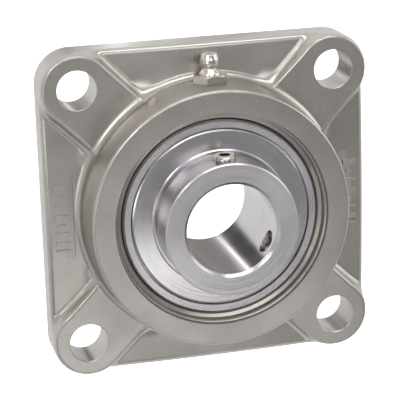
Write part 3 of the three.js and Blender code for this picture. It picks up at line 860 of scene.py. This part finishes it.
# %% Outer ring
PITCH = 26.75
BALL_R = 5.556
TRACK_R = 5.83
PLAY = 0.12
HALF = 10.0
SPHERE_HALF = HALF - 0.55
OUTER_TRACK_HALF = 4.55
PIN_R = 1.5
TO_PIN = Matrix.Rotation(TURN / 2, 4, "Z") @ LIFT @ ALONG_Y


def outer_ring():
    centre = PITCH + BALL_R + PLAY - TRACK_R
    front = [(30.15, 7.1, 0.15), (32.4, 7.1), (32.4, 8.1), (31.9, 8.3), (31.9, 9.8, 0.12),
             (32.1, HALF, 0.1), (34.2, HALF, 0.1)]
    track = arc(centre, TRACK_R, -OUTER_TRACK_HALF, OUTER_TRACK_HALF, 20)
    outside = arc(0, SPHERE, SPHERE_HALF, -SPHERE_HALF, 28)
    section = eased([*track, *front, *outside, *reversed(flipped(front))], steps=2)
    ring = as_object(spun(section, steps=192, lift=MIDDLE), "outer_ring_body")
    hole_place = Matrix.Translation((0, 0, MIDDLE - 5.8)) @ ALONG_Y
    return cut(ring, [as_object(drum(0.9, 29, 37, 32, hole_place), "grease hole"),
                      as_object(drum(PIN_R + 0.06, 34.2, 37, 48, TO_PIN), "pin hole")])


piece(outer_ring(), GROUND, "outer_ring", "outer_ring")


# %% Anti-rotation pin
def pin():
    section = [(0, 34.3), (PIN_R, 34.3, 0.15), (PIN_R, 37.3, 0.3), (0, 37.3)]
    shape = spun(eased(section, closed=False), 48, closed=False)
    bmesh.ops.transform(shape, matrix=TO_PIN, verts=shape.verts[:])
    return as_object(shape, "anti_rotation_pin_body")


piece(pin(), SCREW, "pin", "anti_rotation_pin")

# %% [markdown]
# ## The inner ring and its set screws
# The inner ring is wider than the outer one, and its long collar carries two set screws that
# grip the shaft. The collar's edges are chamfered and polished, and the bore is ground.

# %% Inner ring
COLLAR = 23.4
RING_BACK = -17.5
RING_FRONT = 25.4
INNER_TRACK_HALF = 4.6
BORE_CHAMFER = 1.05
SCREW_PLANE = 18.4
SCREW_ANGLES = (91, -29)
SCREW_HOLE = 4.05


def on_spoke(degrees):
    spoke = Matrix.Rotation(math.radians(degrees) - TURN / 4, 4, "Z")
    return Matrix.Translation((0, 0, MIDDLE + SCREW_PLANE)) @ spoke @ ALONG_Y


def inner_ring():
    centre = PITCH - BALL_R - PLAY + TRACK_R
    back = [(BORE, RING_BACK + 0.9, 0.15), (BORE + 0.9, RING_BACK, 0.15),
            (COLLAR - 0.5, RING_BACK, 0.1), (COLLAR, RING_BACK + 0.5, 0.1)]
    track = arc(centre, TRACK_R, -INNER_TRACK_HALF, INNER_TRACK_HALF, 20, -1)
    front = [(COLLAR, RING_FRONT - 0.5, 0.12), (COLLAR - 0.5, RING_FRONT, 0.12),
             (BORE + BORE_CHAMFER, RING_FRONT, 0.15), (BORE, RING_FRONT - BORE_CHAMFER, 0.15)]
    section = eased([*back, *track, *front], steps=2)
    ring = as_object(spun(section, steps=192, lift=MIDDLE), "inner_ring_body")
    countersink = [(0, BORE - 3), (SCREW_HOLE, BORE - 3), (SCREW_HOLE, COLLAR - 0.62),
                   (4.75, COLLAR + 0.08), (5.7, COLLAR + 1.1), (0, COLLAR + 1.1)]
    holes = []
    for degrees in SCREW_ANGLES:
        shape = spun(countersink, 72, closed=False)
        bmesh.ops.transform(shape, matrix=on_spoke(degrees), verts=shape.verts[:])
        holes.append(as_object(shape, "screw hole"))
    return cut(ring, holes)


piece(inner_ring(), GROUND, "inner_ring", "inner_ring")

# %% [markdown]
# Each set screw has a real thread. A plain turned blank is spun with many rings, and every
# point on its side then moves in or out by its place along a helix, fading out at both ends.
# Its inner end is a cup point, hollow so that its rim bites the shaft, and its outer end has a
# hexagon socket in a shallow dish.

# %% Set screws
SCREW_R = 3.95
SCREW_LENGTH = 8.0
SCREW_END = 24.8
PITCH_OF_THREAD = 1.0
THREAD_DEPTH = 0.5
THREAD_FADE = 0.6
THREAD_START = 1.35
SOCKET_FLATS = 4.0


def threaded(shape, low, high, radius):
    for vert in shape.verts:
        out = math.hypot(vert.co.x, vert.co.y)
        if abs(out - radius) > 0.01 or not low <= vert.co.z <= high:
            continue
        angle = math.atan2(vert.co.y, vert.co.x)
        phase = (vert.co.z / PITCH_OF_THREAD - angle / TURN) % 1
        fade = min(1.0, (vert.co.z - low) / THREAD_FADE, (high - vert.co.z) / THREAD_FADE)
        groove = THREAD_DEPTH * fade * max(0.0, 1 - abs(phase - 0.5) / 0.42)
        vert.co.xy = Vector(vert.co.xy) * (radius - groove) / radius
    return shape


def set_screw(number, degrees):
    end = SCREW_END
    start = end - SCREW_LENGTH
    low, high = start + THREAD_START, end - THREAD_FADE
    side = [(SCREW_R, low + (high - low) * k / 60) for k in range(61)]
    cup = [(0, start + 2), (0.5, start + 1.9), (2.85, start), (3, start)]
    head = [(SCREW_R - 0.25, end - 0.25), (SCREW_R - 0.6, end), (0, end)]
    shape = threaded(spun([*cup, *side, *head], 72, closed=False), low, high, SCREW_R)
    screw = as_object(shape, f"set_screw_{number}_body")
    corner = SOCKET_FLATS / math.sqrt(3)
    socket = [(0, end - 4.6), (corner, end - 3.6), (corner, end + 1), (0, end + 1)]
    dish = [(0, end - 0.05), (1.9, end - 0.05), (2.75, end + 0.35), (0, end + 0.35)]
    cut(screw, [as_object(spun(socket, 6, closed=False), "socket"),
                as_object(spun(dish, 48, closed=False), "dish")])
    spoke = on_spoke(degrees)
    screw.data.transform(Matrix.Translation(spoke.translation * MM) @ spoke.to_3x3().to_4x4())
    return screw


for number, degrees in enumerate(SCREW_ANGLES, 1):
    name = f"set_screw_{number}"
    piece(set_screw(number, degrees), SCREW, name, name)

# %% [markdown]
# ## Balls, cage and rivets
# Nine balls run between the rings. Two pressed halves hold them apart: each is a flat ribbon with a
# domed pocket over every ball, and a rivet joins the halves in each gap. They sit behind the seals.

# %% Balls
BALLS = 9
GAP = TURN / BALLS


def ring_place(angle):
    return Matrix.Translation((PITCH * math.cos(angle), PITCH * math.sin(angle), MIDDLE))


for i in range(BALLS):
    name = f"ball_{i + 1}"
    shape = bmesh.new()
    bmesh.ops.create_icosphere(shape, subdivisions=5, radius=BALL_R, matrix=ring_place(GAP * i))
    piece(as_object(shape, f"{name}_body"), BALL, name, name)

# %% Cage halves
SHEET = 0.8
SPLIT = 0.04
POCKET = 5.85
CAGE_IN, CAGE_OUT = 24.9, 28.8
CAGE_COLUMNS, CAGE_ROWS = 720, 6
RIVET_HOLE = 0.81


def pocket_height(radius, angle, sphere, flat):
    near = (angle + GAP / 2) % GAP - GAP / 2
    away = math.hypot(radius * math.cos(near) - PITCH, radius * math.sin(near))
    return max(flat, math.sqrt(max(0.0, sphere ** 2 - away ** 2)))


def cage_half(name, side):
    shape = bmesh.new()
    bmesh.ops.create_grid(shape, x_segments=CAGE_COLUMNS, y_segments=CAGE_ROWS, size=1)
    top = bmesh.ops.extrude_face_region(shape, geom=shape.faces[:])["geom"]
    top_verts = {v for v in top if isinstance(v, bmesh.types.BMVert)}
    for vert in shape.verts:
        angle = (vert.co.x + 1) / 2 * TURN
        radius = CAGE_IN + (vert.co.y + 1) / 2 * (CAGE_OUT - CAGE_IN)
        if vert in top_verts:
            height = pocket_height(radius, angle, POCKET + SHEET, SHEET)
        else:
            height = pocket_height(radius, angle, POCKET, SPLIT)
        vert.co = (radius * math.cos(angle), radius * math.sin(angle), MIDDLE + side * height)
    seam = [f for f in shape.faces if f.calc_area() < 1e-9]
    bmesh.ops.delete(shape, geom=seam, context="FACES_ONLY")
    bmesh.ops.remove_doubles(shape, verts=shape.verts[:], dist=1e-4)
    half = as_object(shape, name)
    holes = []
    for i in range(BALLS):
        place = ring_place(GAP * (i + 0.5))
        holes.append(as_object(drum(RIVET_HOLE, -2, 2, 24, place), "rivet hole"))
    return cut(half, holes)


for name, side in (("cage_front", 1), ("cage_back", -1)):
    piece(cage_half(name + "_body", side), CAGE, "cage", name)


# %% Rivets
RIVET_HEAD = [(0.75, 0.82, 0.05), (1.4, 0.82, 0.05), (1.4, 1.05), (1.25, 1.33), (0.95, 1.52),
              (0.5, 1.6), (0, 1.62)]


def rivet(i):
    section = eased([*reversed(flipped(RIVET_HEAD)), *RIVET_HEAD], closed=False, steps=2)
    shape = spun(section, 32, closed=False)
    bmesh.ops.transform(shape, matrix=ring_place(GAP * (i + 0.5)), verts=shape.verts[:])
    return as_object(shape, f"cage_rivet_{i + 1}_body")


for i in range(BALLS):
    piece(rivet(i), CAGE, "cage", f"cage_rivet_{i + 1}")

# %% [markdown]
# ## Seals and slingers
# On each side a steel washer snaps into the outer ring, with a rubber lip bonded to its inner edge.
# In front of it a dished steel slinger turns with the inner ring and throws dirt outwards. It is
# the broad bright disc that shows round the collar, so its section has the rim and collar rounded.

# %% Seal and slinger sections
# Corners are (radius, height above the insert's middle, rounding) for the front ones.
CORE = [(32.3, 7.2, 0.1), (32.3, 8, 0.1), (25.7, 8, 0.05), (25.7, 7.2, 0.05)]
LIP = [(25.65, 7.2), (25.65, 8), (24.7, 8.2, 0.2), (23.5, 8.6, 0.05), (24.1, 7.9, 0.2),
       (23.5, 7.1, 0.05), (24.7, 7.2, 0.2)]
SLINGER = [(23.43, 8.95), (24.6, 9.45, 0.4), (30.9, 8.95, 0.3), (31.55, 9.2, 0.12),
           (31.55, 9.6, 0.15), (30.9, 9.85, 0.3), (24.6, 10.3, 0.35), (24.2, 10.7, 0.12),
           (23.43, 10.7)]

for side in ("front", "back"):
    core, lip, slinger = CORE, LIP, SLINGER
    if side == "back":
        core, lip, slinger = flipped(CORE), flipped(LIP), flipped(SLINGER)
    washer = as_object(spun(eased(core), 192, lift=MIDDLE), f"{side}_seal_core_body")
    piece(washer, PRESSED, "outer_ring", f"{side}_seal_core")
    rubber = as_object(spun(eased(lip), 160, lift=MIDDLE), f"{side}_seal_lip_body")
    piece(rubber, RUBBER, "outer_ring", f"{side}_seal_lip")
    disc = as_object(spun(eased(slinger), 192, lift=MIDDLE), f"{side}_slinger_body")
    piece(disc, PRESSED, "inner_ring", f"{side}_slinger", sharp=40)

# %% [markdown]
# ## The grease fitting
# A hexagon seats on the boss, a slim neck rises to a button head, and a spring-loaded ball closes
# the mouth until a grease gun pushes it in. The turned part and the hexagon are joined by a
# Boolean, and the hexagon's corners are trimmed by a cone, as on any turned hexagon bar.

# %% Fitting body
HEX_FLATS = 11.0
SEAT_Y = 45.9
HEX_TOP = 48.9
HEX_TURN = math.radians(37)
TIP = 56.1


def fitting_body():
    turned = [(0.8, 40.6), (4.3, 40.6), (4.9, 41.2), (4.9, HEX_TOP - 0.5), (3.9, HEX_TOP - 0.1, 0.2),
              (3.7, 49.5, 0.5), (2.4, 51, 0.4), (2.45, 51.4, 0.3), (3.25, 52.2, 0.6), (3.5, 53.1, 0.6),
              (3.4, 54.2, 0.8), (2.75, TIP, 0.3), (0.95, TIP, 0.1), (0.95, 55.2), (1.4, 54.75), (1.4, 47),
              (0.8, 46.4)]
    core = as_object(spun(eased(turned), 96), "grease_fitting")
    corner = HEX_FLATS / math.sqrt(3)
    low = SEAT_Y + 0.03
    section = [(3.5, low), (corner - 0.45, low), (corner, SEAT_Y + 0.25), (corner, HEX_TOP - 0.55),
               (corner - 0.95, HEX_TOP, 0.1), (3.5, HEX_TOP)]
    ring = as_object(spun(eased(section), 96), "hexagon")
    sleeve = as_object(drum(20, SEAT_Y - 2, HEX_TOP + 2, 96), "sleeve")
    cut(sleeve, [as_object(drum(corner, SEAT_Y - 3, HEX_TOP + 3, 6), "hexagon inside")])
    cut(ring, [sleeve])
    ring.data.transform(Matrix.Rotation(HEX_TURN, 4, "Z"))
    cut(core, [ring], "UNION")
    core.data.transform(Matrix.Translation((0, 0, MIDDLE * MM)) @ ALONG_Y)
    return core


piece(fitting_body(), FITTING, "housing", "grease_fitting_body", sharp=28)

# %% Check ball and spring
CHECK_R = 1.25
CHECK_Y = 54.32
WIRE_R = 0.17
COIL_R = 1.0
COILS = 4
SPRING_LOW = 48.0
SPRING_HIGH = CHECK_Y - CHECK_R - 0.25
STEPS_A_COIL = 24


def check_ball():
    shape = bmesh.new()
    place = Matrix.Translation((0, CHECK_Y, MIDDLE))
    bmesh.ops.create_icosphere(shape, subdivisions=4, radius=CHECK_R, matrix=place)
    return as_object(shape, "grease_fitting_ball_body")


def check_spring():
    steps = COILS * STEPS_A_COIL
    start = Matrix.Translation((COIL_R, 0, SPRING_LOW)) @ Matrix.Rotation(TURN / 4, 4, "X")
    shape = bmesh.new()
    bmesh.ops.create_circle(shape, cap_ends=True, segments=10, radius=WIRE_R, matrix=start)
    bmesh.ops.spin(shape, geom=shape.faces[:], cent=(0, 0, 0), axis=(0, 0, 1),
                   dvec=(0, 0, (SPRING_HIGH - SPRING_LOW) / steps), angle=TURN * COILS, steps=steps)
    bmesh.ops.transform(shape, matrix=LIFT @ ALONG_Y, verts=shape.verts[:])
    return as_object(shape, "grease_fitting_spring_body")


piece(check_ball(), BALL, "grease_valve", "grease_fitting_ball")
piece(check_spring(), SPRING, "grease_valve", "grease_fitting_spring")
